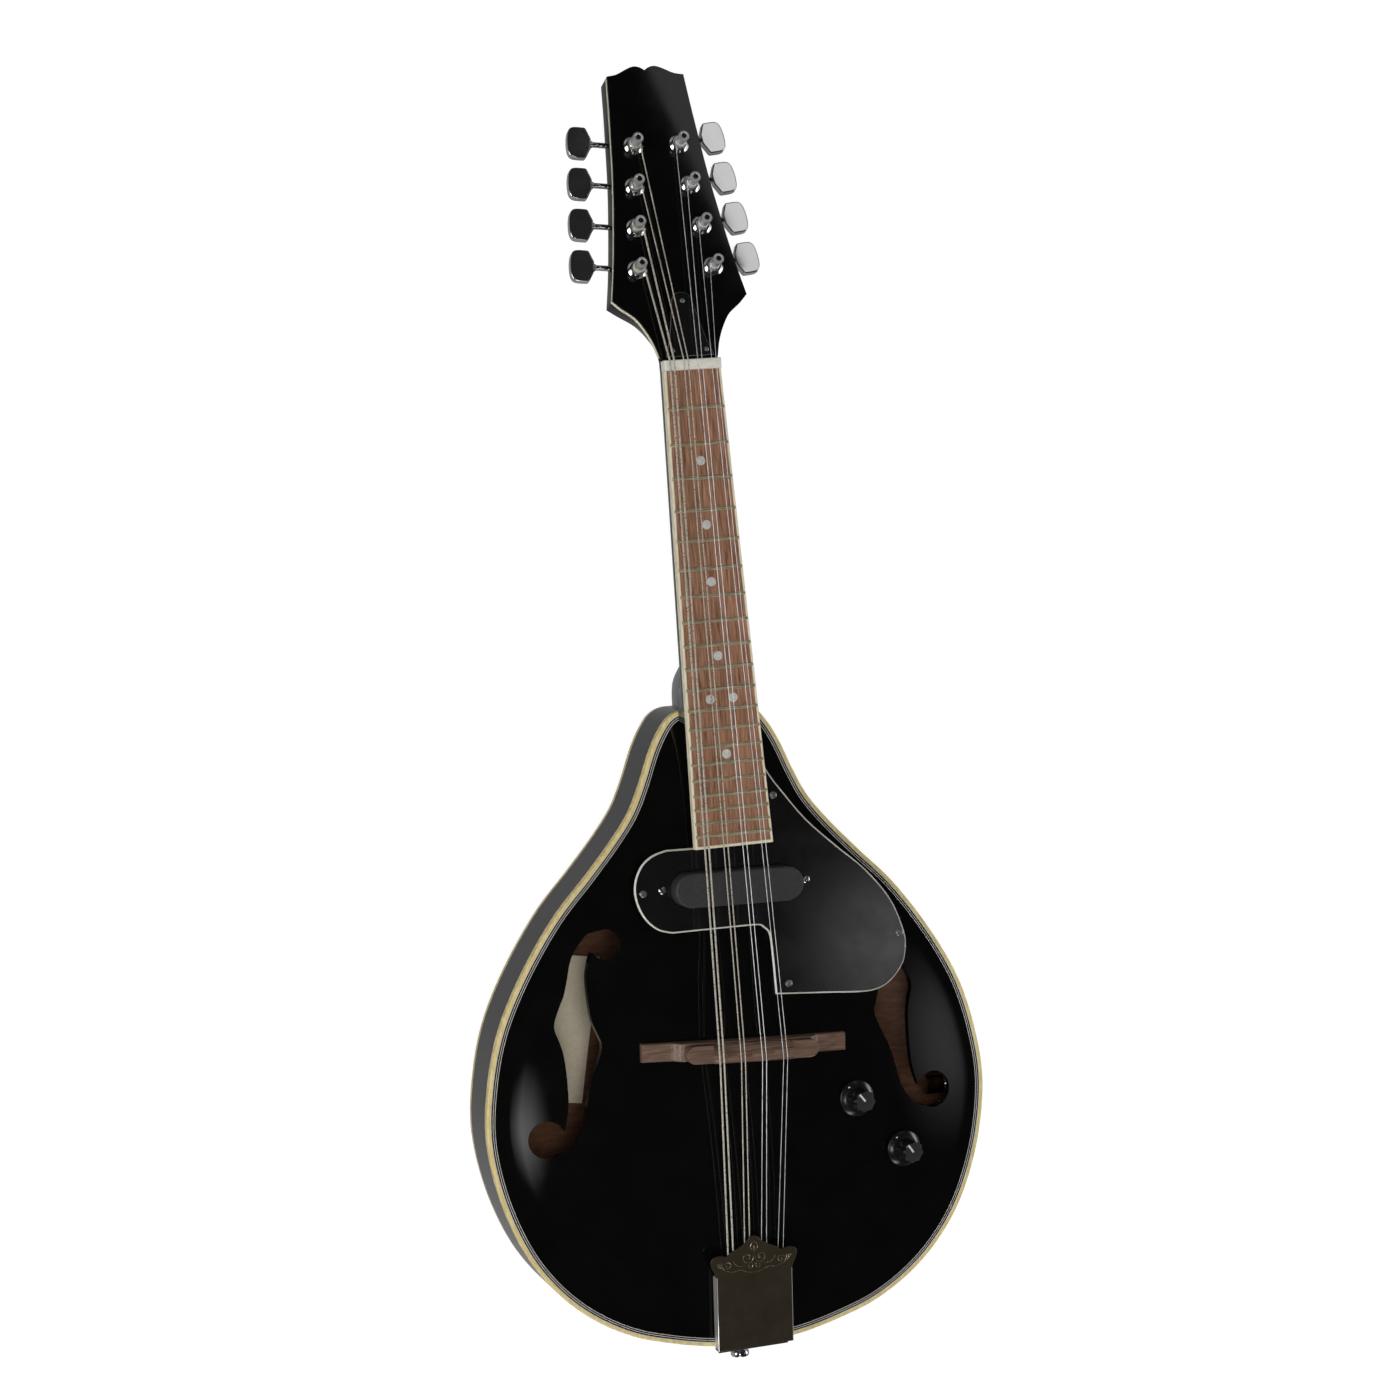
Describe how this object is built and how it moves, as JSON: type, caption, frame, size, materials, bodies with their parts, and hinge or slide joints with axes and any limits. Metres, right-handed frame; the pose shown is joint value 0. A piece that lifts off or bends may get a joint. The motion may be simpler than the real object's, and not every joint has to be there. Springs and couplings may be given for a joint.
{
  "type": "acoustic-electric mandolin",
  "caption": "Carved-top mandolin with f-holes, paired strings, geared tuners, adjustable bridge, a pickup set in the pickguard, rotary controls and an output jack.",
  "frame": {"origin": "middle of the flat crown of the back, on which the instrument lies", "axes": "+X to the treble side, +Y up the neck towards the headstock, +Z out of the soundboard"},
  "size_m": [0.2759, 0.6878, 0.089],
  "materials": {
    "black_lacquer": "high-gloss black lacquer over carved wood",
    "spruce": "bare, inside the body",
    "mahogany": "bare, inside the body",
    "cream_binding": "polished cream binding",
    "label_paper": "plain cream paper",
    "rosewood": "oiled rosewood",
    "steel": "plain drawn steel",
    "wound_string": "wound with fine wire",
    "bone": "polished ivory-coloured bone",
    "nickel": "nickel plate",
    "chrome": "mirror chrome",
    "dark_chrome": "mirror chrome, engraved",
    "black_plastic": "gloss black",
    "grey_resin": "matt grey, finely textured"
  },
  "bodies": {
    "instrument": {"soundboard": "black_lacquer", "back_plate": "black_lacquer", "rim": "black_lacquer", "top_binding": "cream_binding", "back_binding": "cream_binding", "top_lining": "spruce", "back_lining": "spruce", "neck_block": "mahogany", "tail_block": "mahogany", "bass_tone_bar": "spruce", "treble_tone_bar": "spruce", "label": "label_paper", "fretboard": "rosewood", "fretboard_binding": "cream_binding", "nut": "bone", "headstock_binding": "cream_binding", "neck": "black_lacquer", "headplate": "black_lacquer", "truss_rod_cover": "black_plastic", "bass_tuner_plate": "nickel", "treble_tuner_plate": "nickel", "bridge_base": "rosewood", "tailpiece_base": "nickel", "end_pin": "chrome", "pickguard": "black_plastic", "pickup": "grey_resin", "volume_pot": "nickel", "tone_pot": "nickel", "output_jack": "chrome", "string_1": "wound_string", "string_2": "wound_string", "string_3": "wound_string", "string_4": "wound_string", "string_5": "steel", "string_6": "steel", "string_7": "steel", "string_8": "steel"},
    "truss_rod": {"truss_rod": "steel"},
    "bass_button_1": {"bass_tuner_button_1": "chrome"},
    "bass_button_2": {"bass_tuner_button_2": "chrome"},
    "bass_button_3": {"bass_tuner_button_3": "chrome"},
    "bass_button_4": {"bass_tuner_button_4": "chrome"},
    "treble_button_1": {"treble_tuner_button_1": "chrome"},
    "treble_button_2": {"treble_tuner_button_2": "chrome"},
    "treble_button_3": {"treble_tuner_button_3": "chrome"},
    "treble_button_4": {"treble_tuner_button_4": "chrome"},
    "bass_post_1": {"bass_post_1": "chrome"},
    "bass_post_2": {"bass_post_2": "chrome"},
    "bass_post_3": {"bass_post_3": "chrome"},
    "bass_post_4": {"bass_post_4": "chrome"},
    "treble_post_1": {"treble_post_1": "chrome"},
    "treble_post_2": {"treble_post_2": "chrome"},
    "treble_post_3": {"treble_post_3": "chrome"},
    "treble_post_4": {"treble_post_4": "chrome"},
    "bridge_saddle": {"bridge_saddle": "rosewood"},
    "bass_bridge_wheel": {"bass_bridge_wheel": "nickel"},
    "treble_bridge_wheel": {"treble_bridge_wheel": "nickel"},
    "tailpiece_cover": {"tailpiece_cover": "dark_chrome"},
    "volume_knob": {"volume_knob": "black_plastic"},
    "tone_knob": {"tone_knob": "black_plastic"}
  },
  "joints": [
    {"name": "bass_button_1_turn", "type": "hinge", "parent": "instrument", "child": "bass_button_1", "pos_m": [-0.01981, 0.42538, 0.02844], "axis": [-0.993, 0.1139, -0.0324], "continuous": true},
    {"name": "bass_button_2_turn", "type": "hinge", "parent": "instrument", "child": "bass_button_2", "pos_m": [-0.01708, 0.44734, 0.02218], "axis": [-0.993, 0.1139, -0.0324], "continuous": true},
    {"name": "bass_button_3_turn", "type": "hinge", "parent": "instrument", "child": "bass_button_3", "pos_m": [-0.01436, 0.46931, 0.01593], "axis": [-0.993, 0.1139, -0.0324], "continuous": true},
    {"name": "bass_button_4_turn", "type": "hinge", "parent": "instrument", "child": "bass_button_4", "pos_m": [-0.01164, 0.49127, 0.00967], "axis": [-0.993, 0.1139, -0.0324], "continuous": true},
    {"name": "treble_button_1_turn", "type": "hinge", "parent": "instrument", "child": "treble_button_1", "pos_m": [0.01981, 0.42538, 0.02844], "axis": [0.993, 0.1139, -0.0324], "continuous": true},
    {"name": "treble_button_2_turn", "type": "hinge", "parent": "instrument", "child": "treble_button_2", "pos_m": [0.01708, 0.44734, 0.02218], "axis": [0.993, 0.1139, -0.0324], "continuous": true},
    {"name": "treble_button_3_turn", "type": "hinge", "parent": "instrument", "child": "treble_button_3", "pos_m": [0.01436, 0.46931, 0.01593], "axis": [0.993, 0.1139, -0.0324], "continuous": true},
    {"name": "treble_button_4_turn", "type": "hinge", "parent": "instrument", "child": "treble_button_4", "pos_m": [0.01164, 0.49127, 0.00967], "axis": [0.993, 0.1139, -0.0324], "continuous": true},
    {"name": "bass_post_1_turn", "type": "hinge", "parent": "instrument", "child": "bass_post_1", "pos_m": [-0.0206, 0.42386, 0.04738], "axis": [0, 0.274, 0.9617], "continuous": true},
    {"name": "bass_post_2_turn", "type": "hinge", "parent": "instrument", "child": "bass_post_2", "pos_m": [-0.01788, 0.44582, 0.04112], "axis": [0, 0.274, 0.9617], "continuous": true},
    {"name": "bass_post_3_turn", "type": "hinge", "parent": "instrument", "child": "bass_post_3", "pos_m": [-0.01515, 0.46779, 0.03487], "axis": [0, 0.274, 0.9617], "continuous": true},
    {"name": "bass_post_4_turn", "type": "hinge", "parent": "instrument", "child": "bass_post_4", "pos_m": [-0.01243, 0.48975, 0.02861], "axis": [0, 0.274, 0.9617], "continuous": true},
    {"name": "treble_post_1_turn", "type": "hinge", "parent": "instrument", "child": "treble_post_1", "pos_m": [0.0206, 0.42386, 0.04738], "axis": [0, 0.274, 0.9617], "continuous": true},
    {"name": "treble_post_2_turn", "type": "hinge", "parent": "instrument", "child": "treble_post_2", "pos_m": [0.01788, 0.44582, 0.04112], "axis": [0, 0.274, 0.9617], "continuous": true},
    {"name": "treble_post_3_turn", "type": "hinge", "parent": "instrument", "child": "treble_post_3", "pos_m": [0.01515, 0.46779, 0.03487], "axis": [0, 0.274, 0.9617], "continuous": true},
    {"name": "treble_post_4_turn", "type": "hinge", "parent": "instrument", "child": "treble_post_4", "pos_m": [0.01243, 0.48975, 0.02861], "axis": [0, 0.274, 0.9617], "continuous": true},
    {"name": "truss_rod_turn", "type": "hinge", "parent": "instrument", "child": "truss_rod", "pos_m": [0, 0.36939, 0.05374], "axis": [0, 0.9985, -0.0541], "range_deg": [-180, 180]},
    {"name": "bridge_height", "type": "slide", "parent": "instrument", "child": "bridge_saddle", "axis": [0, 0, 1], "range_m": [-0.0015, 0]},
    {"name": "bass_wheel_turn", "type": "hinge", "parent": "bridge_saddle", "child": "bass_bridge_wheel", "pos_m": [-0.02845, 0.01939, 0.0774], "axis": [0, 0, 1], "range_deg": [-770, 0]},
    {"name": "treble_wheel_turn", "type": "hinge", "parent": "bridge_saddle", "child": "treble_bridge_wheel", "pos_m": [0.02845, 0.01601, 0.0774], "axis": [0, 0, 1], "range_deg": [-770, 0]},
    {"name": "cover_slide", "type": "slide", "parent": "instrument", "child": "tailpiece_cover", "axis": [0, -1, 0], "range_m": [0, 0.06]},
    {"name": "volume_turn", "type": "hinge", "parent": "instrument", "child": "volume_knob", "pos_m": [0.06, -0.017, 0.0662], "axis": [0.0826, -0.0148, 0.9965], "range_deg": [-150, 150]},
    {"name": "tone_turn", "type": "hinge", "parent": "instrument", "child": "tone_knob", "pos_m": [0.0856, -0.0478, 0.06231], "axis": [0.1299, -0.0509, 0.9902], "range_deg": [-150, 150]}
  ],
  "couplings": [
    {"joint": "bass_post_1_turn", "follows": "bass_button_1_turn", "ratio": -0.0625},
    {"joint": "bass_post_2_turn", "follows": "bass_button_2_turn", "ratio": -0.0625},
    {"joint": "bass_post_3_turn", "follows": "bass_button_3_turn", "ratio": -0.0625},
    {"joint": "bass_post_4_turn", "follows": "bass_button_4_turn", "ratio": -0.0625},
    {"joint": "treble_post_1_turn", "follows": "treble_button_1_turn", "ratio": 0.0625},
    {"joint": "treble_post_2_turn", "follows": "treble_button_2_turn", "ratio": 0.0625},
    {"joint": "treble_post_3_turn", "follows": "treble_button_3_turn", "ratio": 0.0625},
    {"joint": "treble_post_4_turn", "follows": "treble_button_4_turn", "ratio": 0.0625},
    {"joint": "bass_wheel_turn", "follows": "bridge_height", "rad_per_m": 8959.4},
    {"joint": "treble_wheel_turn", "follows": "bridge_height", "rad_per_m": 8959.4}
  ]
}
